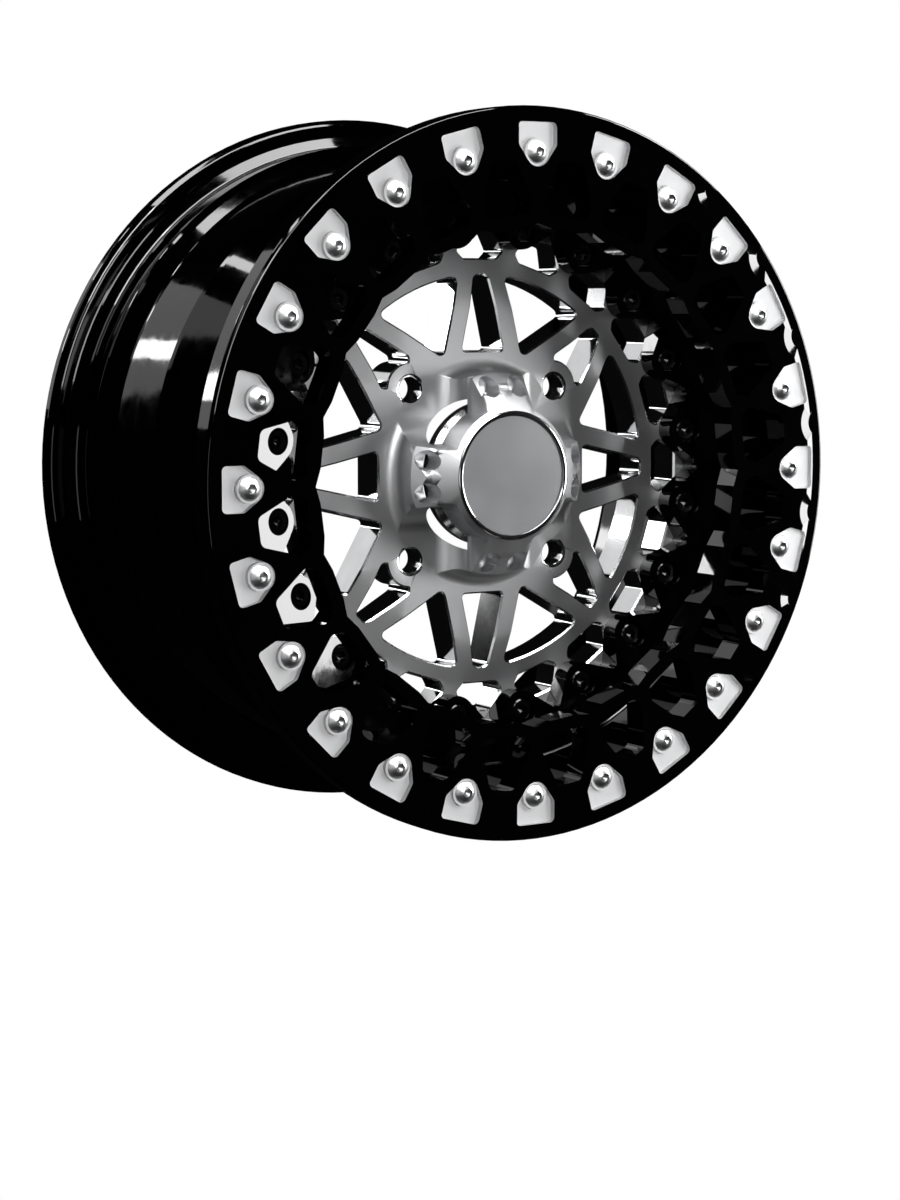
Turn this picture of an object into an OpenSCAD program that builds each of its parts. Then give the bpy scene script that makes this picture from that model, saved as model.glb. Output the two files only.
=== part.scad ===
// Beadlock wheel, 15 in diameter by 7 in wide: a black barrel, a machined
// centre bolted into it, and a clamp ring with twenty-four bolts.
// The wheel turns about the Y axis. The outboard side faces -Y, +Z is up and
// the origin is on the axis, halfway between the two bead faces.

/* [Rim] */
// Radius of the clamp ring, the outer edge of the front
ring_r = 204.8; // [204.2:0.1:205.4]
// Thickness of the clamp ring
ring_t = 16; // [15.6:0.1:16.4]
// Depth of the pads under the bolt heads
pad_depth = 3.7; // [3.4:0.1:4]
// Radius of the rear rim lip
lip_r = 207.8; // [207.4:0.1:208.4]
// Radius of the drop centre
well_r = 165; // [164.6:0.1:165.4]

/* [Clamp bolts] */
// Radius of the ring bolt circle
ring_bolt_r = 179.4; // [179.2:0.1:179.6]
// Diameter of the ring bolt heads
ring_head_d = 13; // [12.6:0.1:13.4]
// Height of the ring bolt heads
ring_head_h = 3.6; // [3.4:0.1:3.8]

/* [Centre] */
// Diameter of the lug bolt circle
lug_pcd = 137; // [136:0.5:138]
// Diameter of the lug holes
lug_d = 14; // [13:0.1:14.4]
// Radius of the hub bore, at the back of the centre
hub_r = 52; // [51:0.1:53]
// Radius of the centre bolt circle
centre_bolt_r = 140.1; // [139.9:0.1:140.3]
// Diameter of the centre bolt heads
centre_head_d = 13; // [12.5:0.1:13.4]

/* [Cap] */
// Radius of the cap barrel
cap_r = 36.2; // [35.9:0.1:36.4]
// Depth of the cap face plate below its rim
cap_sink = 0.8; // [0.5:0.1:1.2]

/* [Hidden] */
shift = -106;            // depths are measured from a plane 106 mm outboard of the origin
ring_back = 14;          // back of the clamp ring
face_d = ring_back - ring_t;     // front of the clamp ring
pad_d = face_d + pad_depth;      // floor of the pads
washer_t = 2.7;          // thickness of the washers
head_d0 = pad_d - washer_t;      // underside of the ring bolt heads
n_ring = 24;             // ring bolts, 15 degrees apart
n_centre = 20;           // centre bolts, 18 degrees apart
bore_r = 46.3;           // through bore and tower cavity
disc_d = 54.3;           // front plane of the centre
back_d = 78.3;           // mounting face of the centre
mate_d = 58;             // face between the centre and the barrel flange
tube_r = 39.1;           // tower wall between the legs
cap_bore = 36.6;         // bore for the cap in the tower
leg_r = 57.5;            // outer wall of the tower legs
crease_d = 38.7;         // where the leg wall turns into the cone
rim_d = 22;              // front of the tower, at the cap
$fn = 64;

black = [0.02, 0.02, 0.022];
alloy = [0.66, 0.67, 0.69];
steel = [0.78, 0.78, 0.80];
dark = [0.06, 0.06, 0.065];
rubber = [0.04, 0.04, 0.04];
brass = [0.78, 0.62, 0.32];

// ---- plane geometry -------------------------------------------------------
function unit(v) = v / norm(v);
// points of one corner b of an outline, between a and c, rounded to radius r
function corner(a, b, c) =
  let (r = b[2], n = len(b) > 3 ? b[3] : 4,
       u = unit([a[0] - b[0], a[1] - b[1]]), w = unit([c[0] - b[0], c[1] - b[1]]),
       half = acos(max(-1, min(1, u * w))) / 2)
  r <= 0 ? [[b[0], b[1]]] :
  let (t = r / tan(half), m = unit(u + w), o = [b[0], b[1]] + m * r / sin(half),
       p = [b[0], b[1]] + u * t, q = [b[0], b[1]] + w * t,
       a0 = atan2(p[1] - o[1], p[0] - o[0]), a1 = atan2(q[1] - o[1], q[0] - o[0]),
       da = ((a1 - a0 + 540) % 360) - 180)
  [for (i = [0 : n]) o + r * [cos(a0 + da * i / n), sin(a0 + da * i / n)]];
// outline of points [x, y, corner radius, steps in the corner]
function rounded(p) =
  [for (i = [0 : len(p) - 1]) each corner(p[(i + len(p) - 1) % len(p)], p[i], p[(i + 1) % len(p)])];

// the wheel is drawn along z, depth growing inward, then laid on its axis
module lay() { translate([0, shift, 0]) rotate([-90, 0, 0]) children(); }
module around(n, a0 = 0) { for (i = [0 : n - 1]) rotate([0, 0, a0 + i * 360 / n]) children(); }
// a prism of the given outline from depth d0 to depth d1
module prism(p, d0, d1) { translate([0, 0, d0]) linear_extrude(height = d1 - d0) polygon(p); }

// ---- barrel ---------------------------------------------------------------
function flange_d(r) = 44.1 + (centre_bolt_r - r) * 0.306;
barrel_profile = rounded([
  [188.6, 14, 0], [189.2, 14.6, 0], [189.2, 30.2, 0.8, 2], [194, 30.8, 0.6, 2], [194, 34, 1.5, 3],
  [176, 46, 7, 4], [well_r, 56.5, 9, 5], [well_r, 91.5, 9, 5],
  [178, 116, 0], [179, 118, 0], [183, 160, 4, 3], [188.3, 166.6, 2, 2],
  [190.2, 169.5, 1.2, 2], [191.7, 172, 2.4, 4], [189.9, 177.4, 2, 3], [190.7, 191.2, 3.4, 4],
  [198, 195.9, 4, 3], [204.6, 195.9, 3, 4], [lip_r, 199.6, 3, 4], [lip_r, 205.4, 2, 4],
  [204, 208.3, 1.5, 3], [195.4, 208.3, 2.5, 3], [188.4, 200, 8, 3],
  [184.5, 192.5, 6, 3], [184.5, 171, 8, 4], [177.9, 163, 6, 3], [173.5, 119, 5, 3],
  [159.5, 94, 8, 4], [159.5, 64, 6, 4], [152.4, 58, 0], [128.8, 58, 0],
  [128.8, flange_d(128.8), 0], [166, flange_d(166), 2, 3], [166, 14, 0]]);
// space between two ears: a V with its point rounded, tangent to both ears
ear_r = 11.3;
ear_half = 39.6;
v_apex = 147.0;
module notch() {
  // the V opens inward from its point
  p = rounded([[v_apex, 0, 3, 4], [v_apex - 40, 40 * tan(ear_half), 0], [v_apex - 40, -40 * tan(ear_half), 0]]);
  intersection() {
    prism(p, 30, 62);
    translate([0, 0, 30]) difference() {
      cylinder(h = 32, r = 175, $fn = 96);
      translate([0, 0, -1]) cylinder(h = 34, r = 100, $fn = 96);
    }
  }
}
// the inward end of each ear is turned round about its bolt
module ear_end() {
  t = ear_r * sin(ear_half);
  translate([centre_bolt_r, 0, 30]) difference() {
    translate([-26, -14.4, 0]) cube([26 - t, 28.8, 32]);
    translate([0, 0, -1]) cylinder(h = 34, r = ear_r, $fn = 48);
  }
}
module barrel() {
  color(black) lay() difference() {
    rotate_extrude($fn = 180) polygon(barrel_profile);
    // notches between the ears, at 0, 18, 36 ...
    around(n_centre) notch();
    around(n_centre, 9) ear_end();
    // counterbores and clearance holes for the centre bolts
    around(n_centre, 9) translate([centre_bolt_r, 0, 0]) {
      translate([0, 0, 30]) cylinder(h = 24, r = 7.5, $fn = 36);
      translate([0, 0, 50]) cylinder(h = 12, r = 4.5, $fn = 24);
    }
    // scallops in the ring seat, between the ring bolts
    around(n_ring, 7.5) translate([167, 0, 8]) cylinder(h = 24, r = 14, $fn = 36);
    // holes for the threaded inserts of the ring bolts
    around(n_ring) translate([ring_bolt_r, 0, 10]) cylinder(h = 27, r = 5.5, $fn = 24);
    // seat and hole for the valve, square to the slope behind the drop centre
    valve_place() {
      translate([0, 0, -12]) cylinder(h = 24, r = 5.7, $fn = 24);
      translate([0, 0, 2.1]) cylinder(h = 20, r = 10.5, $fn = 36);
      translate([0, 0, -20]) cylinder(h = 16.6, r = 10.5, $fn = 36);
    }
  }
}

// ---- centre ---------------------------------------------------------------
centre_profile = [
  [bore_r, disc_d - 0], [95.5, disc_d], [121, mate_d], [152, mate_d], [152, back_d - 0.8],
  [151.2, back_d], [hub_r, back_d], [hub_r, 66], [bore_r, 66]];
tower_profile = [
  [cap_bore, rim_d], [leg_r, crease_d], [leg_r, disc_d - 8.5], [leg_r + 8.5, disc_d], [leg_r + 8.5, disc_d + 1],
  [bore_r, disc_d + 1], [bore_r, 42.6], [38.4, 42.6], [38.4, 43.4], [cap_bore, 43.4]];
// section across a leg: drafted side, then a sweep down to the disc
leg_half = 17.3;
sweep = 16;
module leg_section() {
  difference() {
    polygon([[-14.1, rim_d - 1], [14.1, rim_d - 1], [leg_half, disc_d - sweep], [leg_half + sweep, disc_d],
             [leg_half + sweep, disc_d + 2], [-leg_half - sweep, disc_d + 2], [-leg_half - sweep, disc_d],
             [-leg_half, disc_d - sweep]]);
    for (s = [-1, 1]) translate([s * (leg_half + sweep), disc_d - sweep]) circle(r = sweep, $fn = 64);
  }
}
module leg_bar() { rotate([90, 0, 90]) translate([0, 0, -75]) linear_extrude(height = 150) leg_section(); }
// one flute in the cone of a leg: a straight hole with a slanting tail
flute_r = 5.9;
module flute() {
  translate([50.6, 0, 0]) {
    translate([0, 0, 10]) cylinder(h = 34, r = flute_r, $fn = 36);
    translate([0, 0, 44]) cylinder(h = 3.4, r1 = flute_r, r2 = 0.3, $fn = 36);
    translate([0, 0, 33.2]) rotate([0, -26, 0]) translate([0, 0, -45]) cylinder(h = 45, r = flute_r - 0.02, $fn = 36);
  }
}
window_r = 112.6;
wedge_window = rounded([[69.6, -13.9, 2], [112.6, -4.3, 3.4], [112.6, 4.3, 3.4], [69.6, 13.9, 2]]);
// three-cornered window: two straight sides and an arc of the window circle
tri_a0 = 8.17;
tri_a1 = 36.95;
tri_window = rounded(concat([[66.25, 26.6, 3, 5]],
  [for (i = [0 : 8]) let (a = tri_a0 + (tri_a1 - tri_a0) * i / 8)
    [window_r * cos(a), window_r * sin(a), i == 0 ? 2.6 : i == 8 ? 2.8 : 0]]));
diag_window = rounded([[80, -12.77, 3], [112.6, -4.05, 2.6], [112.6, 4.05, 2.6], [80, 12.77, 3]]);
rim_window = rounded([[122.2, -11, 1.8, 3], [126.3, -15.3, 2.4, 3], [138.2, -9.4, 1.8, 3],
                      [138.2, 9.4, 1.8, 3], [126.3, 15.3, 2.4, 3], [122.2, 11, 1.8, 3]]);
module wheel_centre() {
  color(alloy) lay() difference() {
    union() {
      rotate_extrude($fn = 144) polygon(centre_profile);
      // the tower: turned all round, then milled away between the four legs
      intersection() {
        rotate_extrude($fn = 144) difference() {
          polygon(tower_profile);
          translate([leg_r + 8.5, disc_d - 8.5]) circle(r = 8.5, $fn = 64);
        }
        union() {
          leg_bar();
          rotate([0, 0, 90]) leg_bar();
          translate([0, 0, rim_d - 2]) cylinder(h = 43.4 - rim_d + 2, r = tube_r, $fn = 96);
        }
      }
    }
    around(4) {
      rotate([0, 0, 10.5]) flute();
      rotate([0, 0, -10.5]) flute();
      prism(wedge_window, disc_d - 2, back_d + 2);
      prism(tri_window, disc_d - 2, back_d + 2);
      mirror([0, 1, 0]) prism(tri_window, disc_d - 2, back_d + 2);
    }
    around(4, 45) {
      difference() {
        prism(diag_window, disc_d - 2, back_d + 2);
        translate([lug_pcd / 2, 0, disc_d - 3]) cylinder(h = 30, r = 15.4, $fn = 48);
      }
      // lug hole, its chamfer and the pocket behind it
      translate([lug_pcd / 2, 0, 0]) {
        translate([0, 0, disc_d - 2]) cylinder(h = 30, r = lug_d / 2, $fn = 36);
        translate([0, 0, disc_d - 1]) cylinder(h = 1.9, r1 = lug_d / 2 + 1.9, r2 = lug_d / 2, $fn = 36);
        translate([0, 0, 69.3]) cylinder(h = 12, r = 12.6, $fn = 36);
      }
    }
    around(n_centre) {
      prism(rim_window, mate_d - 2, back_d + 2);
      // scallop in the edge between two bolts
      translate([166, 0, mate_d - 2]) cylinder(h = 26, r = 20, $fn = 64);
    }
    // holes for the threaded inserts of the centre bolts
    around(n_centre, 9) translate([centre_bolt_r, 0, mate_d - 2]) cylinder(h = 19, r = 5.5, $fn = 24);
  }
}

// ---- clamp ring -----------------------------------------------------------
ring_profile = rounded([
  [130, face_d, 0], [192.8, face_d, 1.5, 2], [197, face_d + 0.9, 0], [ring_r - 1.1, face_d + 1.2, 1.2, 4],
  [ring_r, face_d + 3.4, 1, 2], [ring_r, ring_back - 0.6, 0], [ring_r - 0.6, ring_back, 0], [199, ring_back, 0],
  [199, ring_back - 2, 0], [190, ring_back - 2, 0], [190, ring_back, 0], [130, ring_back, 0]]);
ring_bore = [for (k = [0 : n_ring - 1]) each [
  [137.9 * cos(15 * k - 3.9), 137.9 * sin(15 * k - 3.9)], [140.5 * cos(15 * k), 140.5 * sin(15 * k)],
  [137.9 * cos(15 * k + 3.9), 137.9 * sin(15 * k + 3.9)]]];
pad = rounded([[195.8, -12.5, 2.6], [195.8, 12.5, 2.6], [183.18, 12.5, 3, 3], [165.78, 0, 7.95, 9], [183.18, -12.5, 3, 3]]);
pocket = rounded([[145.2, -12.8, 2.5, 3], [152.5, -16.6, 3.5, 3], [175.8, -7.85, 4, 4],
                  [175.8, 7.85, 4, 4], [152.5, 16.6, 3.5, 3], [145.2, 12.8, 2.5, 3]]);
module beadlock_ring() {
  color(black) lay() difference() {
    rotate_extrude($fn = 180) polygon(ring_profile);
    prism(ring_bore, face_d - 2, ring_back + 2);
    // pads for the bolt heads
    around(n_ring) {
      prism(pad, face_d - 2, pad_d);
      translate([ring_bolt_r, 0, face_d - 2]) cylinder(h = ring_t + 4, r = 4.2, $fn = 24);
    }
    // through pockets and edge scallops between them
    around(n_ring, 7.5) {
      prism(pocket, face_d - 2, ring_back + 2);
      translate([203.7, 0, face_d - 1]) cylinder(h = 1.95, r1 = 21.12, r2 = 8.6, $fn = 64);
    }
  }
}

// ---- fasteners ------------------------------------------------------------
// every screw is drawn with the underside of its head at z = 0, head toward -z
module hex_socket(flats, depth, top) {
  translate([0, 0, top - 1]) cylinder(h = depth + 1, r = flats / sqrt(3), $fn = 6);
  translate([0, 0, top + depth]) cylinder(h = flats * 0.28, r1 = flats * 0.46, r2 = 0.2, $fn = 24);
}
module shank(len) {
  translate([0, 0, -0.5]) cylinder(h = len - 0.5, r = 3.95, $fn = 24);
  translate([0, 0, len - 1]) cylinder(h = 1, r1 = 3.95, r2 = 3.1, $fn = 24);
}
module ring_bolts() {
  hr = ring_head_d / 2;
  dome = (hr * hr + ring_head_h * ring_head_h) / (2 * ring_head_h);
  color(steel) lay() around(n_ring) translate([ring_bolt_r, 0, head_d0]) difference() {
    union() {
      intersection() {
        translate([0, 0, dome - ring_head_h]) sphere(r = dome, $fn = 64);
        translate([0, 0, -ring_head_h + 0.18]) cylinder(h = ring_head_h - 0.18, r = hr + 1, $fn = 48);
      }
      shank(31 - head_d0);
    }
    hex_socket(5, 2, -ring_head_h);
  }
}
module ring_washers() {
  color(steel) lay() around(n_ring) translate([ring_bolt_r, 0, head_d0]) difference() {
    cylinder(h = washer_t, r = 7.8, $fn = 48);
    translate([0, 0, -1]) cylinder(h = washer_t + 2, r = 4.2, $fn = 24);
  }
}
module insert(len) {
  difference() {
    cylinder(h = len, r = 5.48, $fn = 24);
    translate([0, 0, -1]) cylinder(h = len + 2, r = 4, $fn = 24);
    translate([0, 0, -0.1]) cylinder(h = 0.9, r1 = 4.9, r2 = 4, $fn = 24);
  }
}
module ring_inserts() { color(steel) lay() around(n_ring) translate([ring_bolt_r, 0, 15]) insert(18); }
module centre_bolts() {
  color(dark) lay() around(n_centre, 9) translate([centre_bolt_r, 0, 54]) difference() {
    union() {
      translate([0, 0, -7.3]) cylinder(h = 7.3, r = centre_head_d / 2, $fn = 36);
      translate([0, 0, -8]) cylinder(h = 0.7, r1 = centre_head_d / 2 - 0.7, r2 = centre_head_d / 2, $fn = 36);
      shank(20);
    }
    hex_socket(6, 4, -8);
  }
}
module centre_inserts() { color(steel) lay() around(n_centre, 9) translate([centre_bolt_r, 0, 58.5]) insert(16); }

// ---- cap ------------------------------------------------------------------
module cap_body() {
  color(steel) lay() difference() {
    rotate_extrude($fn = 96) polygon(rounded([
      [33.7, 21.5, 0.6, 2], [cap_r, 21.5, 0.8, 3],
      [cap_r, 27.2, 0], [cap_r - 1.5, 27.2, 0], [cap_r - 1.5, 29.8, 0], [cap_r, 29.8, 0],
      [cap_r, 34.3, 0], [cap_r - 1.2, 34.3, 0], [cap_r - 1.2, 35.9, 0], [cap_r, 35.9, 0],
      [cap_r, 43.5, 0], [38.2, 43.5, 0.5, 2], [41.5, 46.6, 0.6, 2], [41.5, 50.3, 0.3, 1], [39.2, 50.3, 0], [39.2, 53, 0],
      [40.4, 53.2, 0], [40.4, 54.2, 0], [39.6, 55, 0], [33.2, 55, 0], [33.2, 26.5, 0], [29, 26.5, 0],
      [29, 24.5, 0], [33.7, 24.5, 0]]));
  }
}
module cap_plate() {
  color(alloy) lay() translate([0, 0, 21.5 + cap_sink]) {
    cylinder(h = 24.5 - 21.5 - cap_sink, r = 33.5, $fn = 96);
  }
}
module cap_o_ring() {
  color(rubber) lay() translate([0, 0, 28.5]) rotate_extrude($fn = 96) translate([cap_r - 0.45, 0]) circle(r = 0.82, $fn = 24);
}
module cap_rear_ring() {
  color(rubber) lay() rotate_extrude($fn = 96)
    polygon(rounded([[39.3, 50.4, 0.3, 1], [41.3, 50.4, 0.7, 3], [41.3, 52.9, 0.9, 3], [39.3, 52.9, 0.3, 1]]));
}
module cap_snap_ring() {
  color(steel) lay() translate([0, 0, 35.1]) rotate([0, 0, 200]) rotate_extrude(angle = 338, $fn = 96)
    translate([cap_r - 0.42, 0]) circle(r = 0.7, $fn = 20);
}

// ---- valve ----------------------------------------------------------------
// on the slope behind the drop centre, near eleven o'clock, square to the
// slope; the local z axis points out of the barrel, z = 0 inside the wall
module valve_place() {
  rotate([0, 0, -108]) translate([168.9, 0, 105.2]) rotate([0, 61.6, 0]) children();
}
module valve_stem() {
  color(brass) lay() valve_place() difference() {
    union() {
      translate([0, 0, 4.2]) cylinder(h = 2.2, r = 8, $fn = 36);
      translate([0, 0, 6.4]) cylinder(h = 1.2, r1 = 8, r2 = 6.4, $fn = 36);
      translate([0, 0, -28]) cylinder(h = 34, r = 4.1, $fn = 24);
      translate([0, 0, -38]) cylinder(h = 12, r = 3.8, $fn = 24);
    }
    translate([0, 0, -39]) cylinder(h = 60, r = 1.4, $fn = 16);
    translate([0, 0, -39]) cylinder(h = 15, r = 2.3, $fn = 20);
  }
}
module valve_inner_seal() {
  color(rubber) lay() valve_place() difference() {
    union() {
      translate([0, 0, 2.1]) cylinder(h = 2.1, r = 8.6, $fn = 36);
      cylinder(h = 3, r = 5.6, $fn = 24);
    }
    translate([0, 0, -1]) cylinder(h = 8, r = 4.15, $fn = 24);
  }
}
module valve_outer_seal() {
  color(rubber) lay() valve_place() difference() {
    union() {
      translate([0, 0, -5.4]) cylinder(h = 2, r = 8.6, $fn = 36);
      translate([0, 0, -4]) cylinder(h = 3.9, r = 5.6, $fn = 24);
    }
    translate([0, 0, -8]) cylinder(h = 10, r = 4.15, $fn = 24);
  }
}
module valve_washer() {
  color(steel) lay() valve_place() translate([0, 0, -6.9]) difference() {
    cylinder(h = 1.5, r = 8, $fn = 36);
    translate([0, 0, -1]) cylinder(h = 4, r = 4.15, $fn = 24);
  }
}
module valve_nut() {
  color(steel) lay() valve_place() translate([0, 0, -12.4]) difference() {
    intersection() {
      cylinder(h = 5.5, r = 13 / sqrt(3), $fn = 6);
      translate([0, 0, -0.1]) cylinder(h = 7, r1 = 6.6, r2 = 13.6, $fn = 36);
    }
    translate([0, 0, -1]) cylinder(h = 8, r = 4.15, $fn = 24);
  }
}
module valve_core() {
  color(brass) lay() valve_place() {
    translate([0, 0, -37]) cylinder(h = 10, r = 2.25, $fn = 20);
    translate([0, 0, -38.4]) cylinder(h = 2, r = 0.7, $fn = 12);
  }
}
module valve_cap() {
  color(dark) lay() valve_place() translate([0, 0, -41.4]) difference() {
    union() {
      translate([0, 0, 0.8]) cylinder(h = 10.2, r = 5, $fn = 36);
      cylinder(h = 0.8, r1 = 4.2, r2 = 5, $fn = 36);
    }
    translate([0, 0, 2]) cylinder(h = 12, r = 3.85, $fn = 24);
    for (i = [0 : 11]) rotate([0, 0, 30 * i]) translate([5.25, 0, 2]) cylinder(h = 12, r = 0.6, $fn = 12);
  }
}

barrel();
wheel_centre();
beadlock_ring();
ring_bolts();
ring_washers();
ring_inserts();
centre_bolts();
centre_inserts();
cap_body();
cap_plate();
cap_o_ring();
cap_rear_ring();
cap_snap_ring();
valve_stem();
valve_inner_seal();
valve_outer_seal();
valve_washer();
valve_nut();
valve_core();
valve_cap();
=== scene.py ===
import bpy
import bmesh
import math
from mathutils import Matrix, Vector


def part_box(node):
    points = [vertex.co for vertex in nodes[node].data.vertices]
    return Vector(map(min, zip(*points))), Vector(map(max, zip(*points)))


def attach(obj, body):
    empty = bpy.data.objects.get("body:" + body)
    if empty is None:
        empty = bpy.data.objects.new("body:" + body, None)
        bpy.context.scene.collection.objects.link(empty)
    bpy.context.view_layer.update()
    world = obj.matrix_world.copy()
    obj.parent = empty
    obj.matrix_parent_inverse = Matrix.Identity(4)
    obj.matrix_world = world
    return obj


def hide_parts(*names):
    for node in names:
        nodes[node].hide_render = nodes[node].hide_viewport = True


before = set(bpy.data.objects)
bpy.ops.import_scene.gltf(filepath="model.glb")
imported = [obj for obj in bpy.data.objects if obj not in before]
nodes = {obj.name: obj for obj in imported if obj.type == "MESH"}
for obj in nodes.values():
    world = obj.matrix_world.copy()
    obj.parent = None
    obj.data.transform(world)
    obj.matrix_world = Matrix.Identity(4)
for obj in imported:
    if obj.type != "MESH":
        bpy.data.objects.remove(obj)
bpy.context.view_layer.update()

SHIFT = -0.106          # depths are measured from a plane 106 mm outboard of the origin
scene = bpy.context.scene


# ---------------------------------------------------------------- materials
class Mat:
    """A node material with short ways to add and join nodes."""

    def __init__(self, name):
        self.m = bpy.data.materials.new(name)
        self.m.use_nodes = True
        self.t = self.m.node_tree
        self.t.nodes.clear()
        self.out = self.n("ShaderNodeOutputMaterial")
        self.b = self.n("ShaderNodeBsdfPrincipled")
        self.t.links.new(self.b.outputs[0], self.out.inputs[0])
        self.xyz = None

    def n(self, kind, **props):
        node = self.t.nodes.new(kind)
        for k, v in props.items():
            setattr(node, k, v)
        return node

    def put(self, where, what):
        if isinstance(what, bpy.types.NodeSocket):
            self.t.links.new(what, where)
        else:
            where.default_value = what

    def set(self, **values):
        names = {"color": "Base Color", "metallic": "Metallic", "rough": "Roughness",
                 "ior": "IOR", "aniso": "Anisotropic", "coat": "Coat Weight",
                 "coat_rough": "Coat Roughness", "spec": "Specular IOR Level",
                 "tangent": "Tangent", "normal": "Normal", "turn": "Anisotropic Rotation"}
        for k, v in values.items():
            self.put(self.b.inputs[names[k]], v)

    def math(self, op, a, b=0.0, c=0.0, clamp=False):
        node = self.n("ShaderNodeMath", operation=op, use_clamp=clamp)
        for i, v in enumerate((a, b, c)):
            if i < len(node.inputs):
                self.put(node.inputs[i], v)
        return node.outputs[0]

    def place(self):
        """The point in the row frame: x, y, z and the radius about the wheel's axis."""
        if self.xyz is None:
            tc = self.n("ShaderNodeTexCoord")
            sep = self.n("ShaderNodeSeparateXYZ")
            self.put(sep.inputs[0], tc.outputs["Object"])
            x, y, z = sep.outputs
            r = self.math("SQRT", self.math("ADD", self.math("MULTIPLY", x, x), self.math("MULTIPLY", z, z)))
            self.xyz = (tc.outputs["Object"], x, y, z, r)
        return self.xyz

    def noise(self, scale, vector=None, detail=2.0, rough=0.5, w=None):
        node = self.n("ShaderNodeTexNoise", noise_dimensions="1D" if w is not None else "3D")
        if w is not None:
            self.put(node.inputs["W"], w)
        else:
            self.put(node.inputs["Vector"], vector or self.place()[0])
        node.inputs["Scale"].default_value = scale
        node.inputs["Detail"].default_value = detail
        node.inputs["Roughness"].default_value = rough
        return node.outputs[0]

    def span(self, v, lo, hi, a, b):
        node = self.n("ShaderNodeMapRange")
        for i, x in enumerate((v, lo, hi, a, b)):
            self.put(node.inputs[i], x)
        return node.outputs[0]

    def ramp(self, v, stops):
        node = self.n("ShaderNodeValToRGB")
        el = node.color_ramp.elements
        while len(el) < len(stops):
            el.new(0.5)
        for e, (p, c) in zip(el, stops):
            e.position = p
            e.color = (*c, 1.0)
        self.put(node.inputs[0], v)
        return node.outputs[0]

    def bump(self, height, distance, strength=1.0, then=None):
        node = self.n("ShaderNodeBump")
        node.inputs["Strength"].default_value = strength
        node.inputs["Distance"].default_value = distance
        self.put(node.inputs["Height"], height)
        if then is not None:
            self.put(node.inputs["Normal"], then)
        return node.outputs[0]


def gloss_black():
    m = Mat("gloss_black")
    fine = m.noise(140.0, detail=3.0)
    wide = m.noise(18.0, detail=2.0)
    m.set(color=m.ramp(wide, [(0.3, (0.0004, 0.0004, 0.0005)), (0.7, (0.0008, 0.0008, 0.0010))]),
          rough=m.span(fine, 0.3, 0.7, 0.03, 0.07),
          normal=m.bump(fine, 0.00003, 0.35))
    m.b.inputs["IOR"].default_value = 1.5
    return m.m


def turned(name, colour, rough, ring_scale=2600.0, ring_depth=0.000004, metallic=1.0, radial=True):
    """Metal cut on a lathe or milled: fine lines about the axis."""
    m = Mat(name)
    r = m.place()[4]
    lines = m.noise(ring_scale, detail=2.0, w=r) if radial else m.noise(ring_scale * 0.4, detail=2.0)
    cloud = m.noise(34.0, detail=4.0)
    m.b.inputs["Metallic"].default_value = metallic
    lo = tuple(c * 0.94 for c in colour)
    m.set(color=m.ramp(cloud, [(0.3, lo), (0.7, colour)]),
          rough=m.math("ADD", m.span(lines, 0.25, 0.75, rough[0], rough[1]), m.span(cloud, 0.3, 0.7, -0.012, 0.012)),
          normal=m.bump(lines, ring_depth, 0.5))
    return m.m


def satin(name, colour, rough, grain=900.0, depth=0.00001, metallic=1.0):
    m = Mat(name)
    g = m.noise(grain, detail=3.0)
    cloud = m.noise(60.0, detail=3.0)
    m.b.inputs["Metallic"].default_value = metallic
    lo = tuple(c * 0.9 for c in colour)
    m.set(color=m.ramp(cloud, [(0.3, lo), (0.7, colour)]),
          rough=m.span(g, 0.3, 0.7, rough[0], rough[1]),
          normal=m.bump(g, depth, 0.5))
    return m.m


BLACK = gloss_black()
ALLOY = turned("machined_alloy", (0.70, 0.705, 0.715), (0.41, 0.46), 2600.0, 0.000002)
EDGE = satin("cut_edge", (0.80, 0.805, 0.82), (0.16, 0.22), 1400.0, 0.000003)
WALL = satin("window_wall", (0.74, 0.745, 0.755), (0.07, 0.11), 900.0, 0.000002)
PAD = satin("bare_pad", (0.78, 0.782, 0.79), (0.50, 0.56), 1600.0, 0.000003, 0.0)
# dark metal for the socket walls of the ring bolts: painted shade, not a different steel
SOCKET_SHADE = satin("socket_painted_shade", (0.10, 0.10, 0.102), (0.30, 0.38), 1600.0, 0.000002)
BOLT = satin("plated_steel", (0.70, 0.705, 0.71), (0.36, 0.41), 1500.0, 0.000002)
DARK = satin("black_oxide", (0.002, 0.002, 0.0025), (0.1, 0.18), 1200.0, 0.000004, 0.0)
CAP = turned("polished_cap", (0.80, 0.805, 0.815), (0.1, 0.16), 3000.0, 0.0000015)
PLATE = turned("brushed_plate", (0.46, 0.465, 0.475), (0.34, 0.40), 4200.0, 0.000001)
RUBBER = satin("seal_rubber", (0.018, 0.018, 0.018), (0.55, 0.7), 500.0, 0.00003, 0.0)
BRASS = satin("turned_brass", (0.75, 0.60, 0.33), (0.2, 0.3), 1200.0, 0.000006)
PLASTIC = satin("black_plastic", (0.016, 0.016, 0.017), (0.38, 0.5), 700.0, 0.00002, 0.0)


# ---------------------------------------------------------------- shapes
def polar(p):
    """Depth from the ring face and radius about the axis, both in metres."""
    return p[1] - SHIFT, math.hypot(p[0], p[2])


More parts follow.
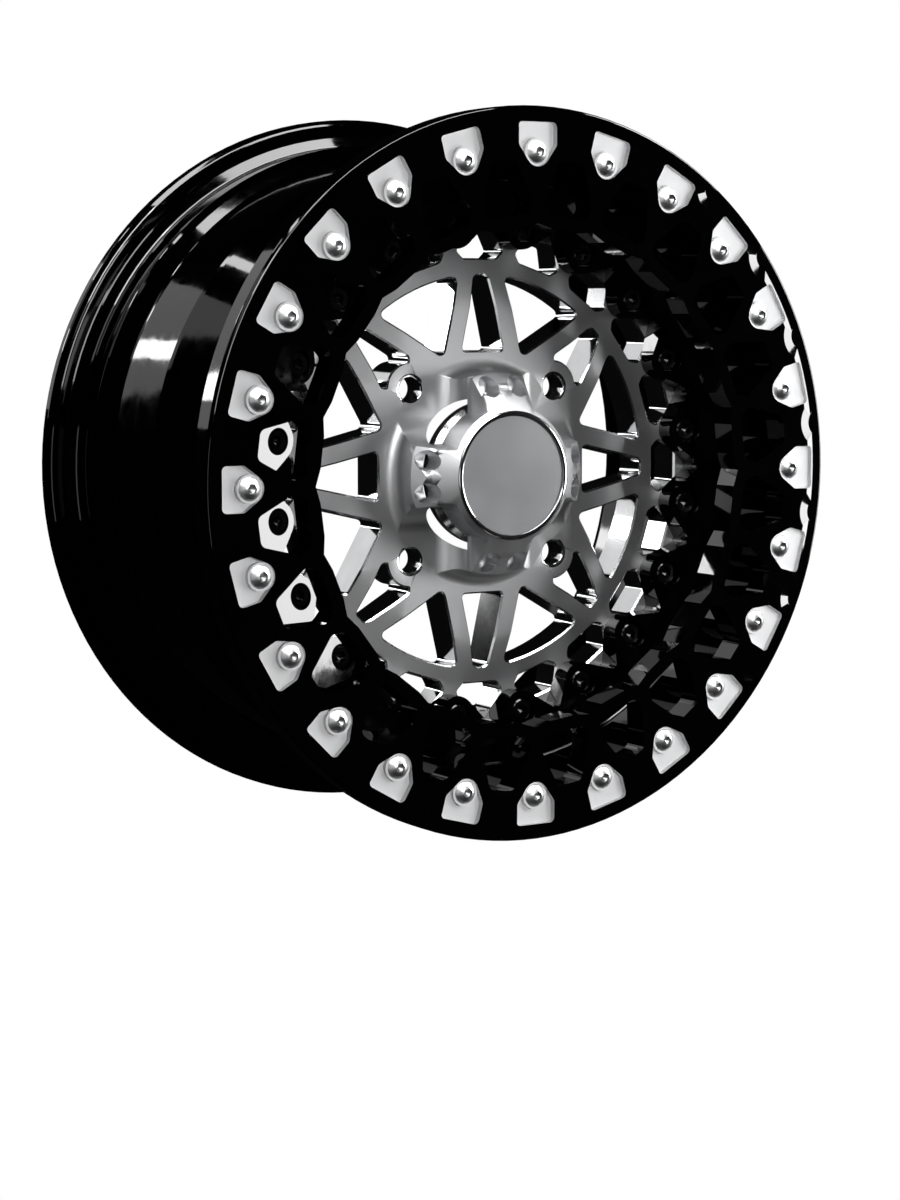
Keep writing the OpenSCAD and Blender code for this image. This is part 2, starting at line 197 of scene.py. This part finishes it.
def piece(node, mats, cuts, paint=None, smooth=28.0, weld=3e-6, weighted=False):
    """A copy of a CAD node with its cut edges broken, standing for that node.
    cuts: (test of an edge, width, segments, material of the new faces)"""
    src = nodes[node]
    me = src.data.copy()
    bm = bmesh.new()
    bm.from_mesh(me)
    bmesh.ops.remove_doubles(bm, verts=bm.verts, dist=weld)
    bmesh.ops.dissolve_degenerate(bm, dist=1e-7, edges=bm.edges)
    bm.normal_update()
    for f in bm.faces:
        f.material_index = 0
    if paint:
        for f in bm.faces:
            f.material_index = paint(f)
    for pick_edge, width, segments, chamfer_mat in cuts:
        bm.normal_update()
        chosen = []
        for e in bm.edges:
            if len(e.link_faces) != 2:
                continue
            a = e.link_faces[0].normal.angle(e.link_faces[1].normal, 0.0)
            if a < math.radians(28) or not e.is_convex:
                continue
            if pick_edge(e, a):
                chosen.append(e)
        if chosen:
            bmesh.ops.bevel(bm, geom=chosen, offset=width, offset_type="OFFSET", segments=segments,
                            profile=0.5, affect="EDGES", clamp_overlap=False, material=chamfer_mat,
                            miter_outer="SHARP", miter_inner="SHARP", loop_slide=True)
    bmesh.ops.dissolve_degenerate(bm, dist=1e-7, edges=bm.edges)
    for f in bm.faces:
        f.smooth = True
    new = bpy.data.meshes.new(node + "_mesh")
    bm.to_mesh(new)
    bm.free()
    bpy.data.meshes.remove(me)
    new.set_sharp_from_angle(angle=math.radians(smooth))
    for m in mats:
        new.materials.append(m)
    o = bpy.data.objects.new(node + "_finished", new)
    scene.collection.objects.link(o)
    if weighted:
        # flat faces keep their own normals beside narrow chamfers
        w = o.modifiers.new("weighted", "WEIGHTED_NORMAL")
        w.mode = "FACE_AREA"
        w.weight = 100
        w.keep_sharp = True
    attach(o, "root")
    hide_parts(node)
    return o


def both(e, test):
    return all(test(*polar(v.co)) for v in e.verts)


def near(a, b, tol=0.00025):
    return abs(a - b) < tol


# clamp ring: its pads are bare metal
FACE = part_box("beadlock_ring")[0][1] - SHIFT          # depth of the ring's front


def bare(centre, normal, depths):
    """A face of a pad: its floor, or the wall round it."""
    if not 0.160 < polar(centre)[1] < 0.1985:
        return False
    if normal[1] < -0.9:
        return min(depths) > FACE + 0.0022 and max(depths) < FACE + 0.0045
    return abs(normal[1]) < 0.2 and max(depths) < FACE + 0.0045


ring = nodes["beadlock_ring"]
ring.data.materials.clear()
ring.data.materials.append(BLACK)
ring.data.materials.append(PAD)
for poly in ring.data.polygons:
    depths = [polar(ring.data.vertices[i].co)[0] for i in poly.vertices]
    poly.material_index = 1 if bare(poly.center, poly.normal, depths) else 0


# centre: every window in the disc has a chamfer of about a millimetre
def centre_edge(e, a):
    face = both(e, lambda d, r: 0.0662 < r and (near(d, 0.0543 if r <= 0.0955 else 0.0543 + (r - 0.0955) * 3.7 / 25.5, 0.0003) or (r > 0.1209 and near(d, 0.058))))
    back = both(e, lambda d, r: near(d, 0.0783))
    return face or back


def centre_paint(f):
    """Walls of the windows and holes are brighter cut than the face."""
    c = f.calc_center_median()
    d, r = polar(c)
    if abs(f.normal.y) < 0.25 and d > 0.0538 and 0.060 < r < 0.1515:
        return 2
    lug = math.hypot(abs(c.x) - 0.0685 * math.sqrt(0.5), abs(c.z) - 0.0685 * math.sqrt(0.5))
    return 2 if lug < 0.0092 and abs(f.normal.y) < 0.9 and d > 0.0538 else 0


centre = piece("wheel_centre", [ALLOY, EDGE, WALL], [(centre_edge, 0.001, 1, 1)], centre_paint, weighted=True)

for node, mat, slot in (
        ("barrel", BLACK, "black_gloss"),
        ("ring_bolts", BOLT, "bolt_steel"), ("ring_washers", PAD, "bolt_steel"),
        ("ring_inserts", BOLT, "bolt_steel"), ("centre_inserts", BOLT, "bolt_steel"),
        ("centre_bolts", DARK, "black_steel"), ("cap_body", CAP, "polished_cap"),
        ("cap_plate", PLATE, "brushed_plate"), ("cap_o_ring", RUBBER, "seal_rubber"),
        ("cap_rear_ring", RUBBER, "seal_rubber"), ("cap_snap_ring", BOLT, "bolt_steel"),
        ("valve_stem", BRASS, "valve_brass"), ("valve_core", BRASS, "valve_brass"),
        ("valve_inner_seal", RUBBER, "seal_rubber"), ("valve_outer_seal", RUBBER, "seal_rubber"),
        ("valve_washer", BOLT, "bolt_steel"), ("valve_nut", BOLT, "bolt_steel"),
        ("valve_cap", PLASTIC, "black_plastic")):
    o = nodes[node]
    o.data.materials.clear()
    o.data.materials.append(mat)

# the walls of the ring bolts' sockets get a dark metal: painted shade in the recess, the steel there is the same as
# the heads
bolts = nodes["ring_bolts"]
bolts.data.materials.append(SOCKET_SHADE)
for poly in bolts.data.polygons:
    d, rad = polar(poly.center)
    step = math.atan2(poly.center[2], poly.center[0]) / math.radians(15)
    off = math.hypot(rad * math.cos(math.radians(15) * (step - round(step))) - 0.1794,
                     rad * math.sin(math.radians(15) * (step - round(step))))
    poly.material_index = 1 if off < 0.0029 and d < FACE + 0.002 and abs(poly.normal[1]) < 0.4 else 0

# ---------------------------------------------------------------- stage
floor_me = bpy.data.meshes.new("floor")
s, z0 = 30.0, -0.2079
floor_me.from_pydata([(-s, -s, z0), (s, -s, z0), (s, s, z0), (-s, s, z0)], [], [(0, 1, 2, 3)])
floor = bpy.data.objects.new("floor", floor_me)
scene.collection.objects.link(floor)
fm = Mat("pale_floor")
fm.set(color=(0.9, 0.9, 0.9, 1.0), rough=0.6)
glow = fm.n("ShaderNodeEmission")
glow.inputs[0].default_value = (1, 1, 1, 1)
glow.inputs[1].default_value = 1.0
seen = fm.n("ShaderNodeLightPath")
mixer = fm.n("ShaderNodeMixShader")
fm.put(mixer.inputs[0], seen.outputs["Is Camera Ray"])
fm.put(mixer.inputs[1], fm.b.outputs[0])
fm.put(mixer.inputs[2], glow.outputs[0])
fm.put(fm.out.inputs[0], mixer.outputs[0])
floor_me.materials.append(fm.m)
floor.visible_glossy = False
floor.visible_diffuse = False
floor.visible_shadow = False

world = bpy.data.worlds.new("studio")
scene.world = world
world.use_nodes = True
wt = world.node_tree
wt.nodes.clear()
wo = wt.nodes.new("ShaderNodeOutputWorld")
mix = wt.nodes.new("ShaderNodeMixShader")
lp = wt.nodes.new("ShaderNodeLightPath")
dark = wt.nodes.new("ShaderNodeBackground")
pale = wt.nodes.new("ShaderNodeBackground")
dark.inputs[0].default_value = (1, 1, 1, 1)
dark.inputs[1].default_value = 0.003
pale.inputs[0].default_value = (1, 1, 1, 1)
pale.inputs[1].default_value = 1.0
wt.links.new(lp.outputs["Is Camera Ray"], mix.inputs[0])
wt.links.new(dark.outputs[0], mix.inputs[1])
wt.links.new(pale.outputs[0], mix.inputs[2])
wt.links.new(mix.outputs[0], wo.inputs[0])


def panel(name, az, el, width, height, level, dist=3.0, roll=0.0, aim=(0, -0.03, 0), glossy=True):
    """A soft box at a direction from the wheel (degrees; az 0 is +X, -90 is outboard), its size in degrees of view."""
    a, e = math.radians(az), math.radians(el)
    way = Vector((math.cos(e) * math.cos(a), math.cos(e) * math.sin(a), math.sin(e)))
    w = 2 * dist * math.tan(math.radians(width / 2))
    h = 2 * dist * math.tan(math.radians(height / 2))
    data = bpy.data.lights.new(name, "AREA")
    data.shape = "RECTANGLE"
    data.size, data.size_y = w, h
    data.energy = level * w * h * math.pi          # level is the panel's own brightness
    o = bpy.data.objects.new(name, data)
    scene.collection.objects.link(o)
    o.location = Vector(aim) + way * dist
    o.rotation_mode = "QUATERNION"
    q = way.to_track_quat("Z", "Y")
    o.rotation_quaternion = q
    if roll:
        o.rotation_mode = "XYZ"
        o.rotation_euler = q.to_euler()
        o.rotation_euler.rotate_axis("Z", math.radians(roll))
    o.visible_camera = False
    o.visible_glossy = glossy
    o.visible_diffuse = not glossy
    return o


panel("overhead", -90, 75.4, 46, 28, 12.0)
panel("front_window", -107, 25, 20, 34, 7.5)
panel("left_window", -145, 50, 14, 26, 16.0)
panel("left_mid", -145, 30, 16, 14, 1.8)
panel("left_low", -150, -4, 24, 22, 0.9)
panel("right_side", -26, 1.5, 22, 21, 16.0)
panel("right_high", -8, 38, 30, 24, 12.0)
panel("back_dim", 114, 19, 24, 26, 0.85)
panel("back_streak", 131, 38, 3.5, 60, 11.0, roll=-28)
panel("back_left", 158, 37, 16, 22, 1.0)
# two front lights that only matt surfaces answer to
panel("fill", -85, 5, 50, 40, 6.0, dist=0.5, aim=(0.42, -0.1, 0.05), glossy=False)
panel("front_fill", -90, 3, 10, 10, 47.0, aim=(0, -0.1, 0), glossy=False)

# ---------------------------------------------------------------- camera
cam_data = bpy.data.cameras.new("camera")
cam = bpy.data.objects.new("camera", cam_data)
scene.collection.objects.link(cam)
cam.location = (-0.842, -1.3775, 0.0967)
cam.rotation_euler = Vector((0.5229, 0.8456, -0.1078)).to_track_quat("-Z", "Y").to_euler()
cam_data.sensor_fit = "VERTICAL"
cam_data.sensor_height = 36.0
cam_data.lens = 82.14
cam_data.clip_start = 0.01
scene.camera = cam

scene.view_settings.view_transform = "Standard"
scene.view_settings.look = "None"

bpy.context.view_layer.update()
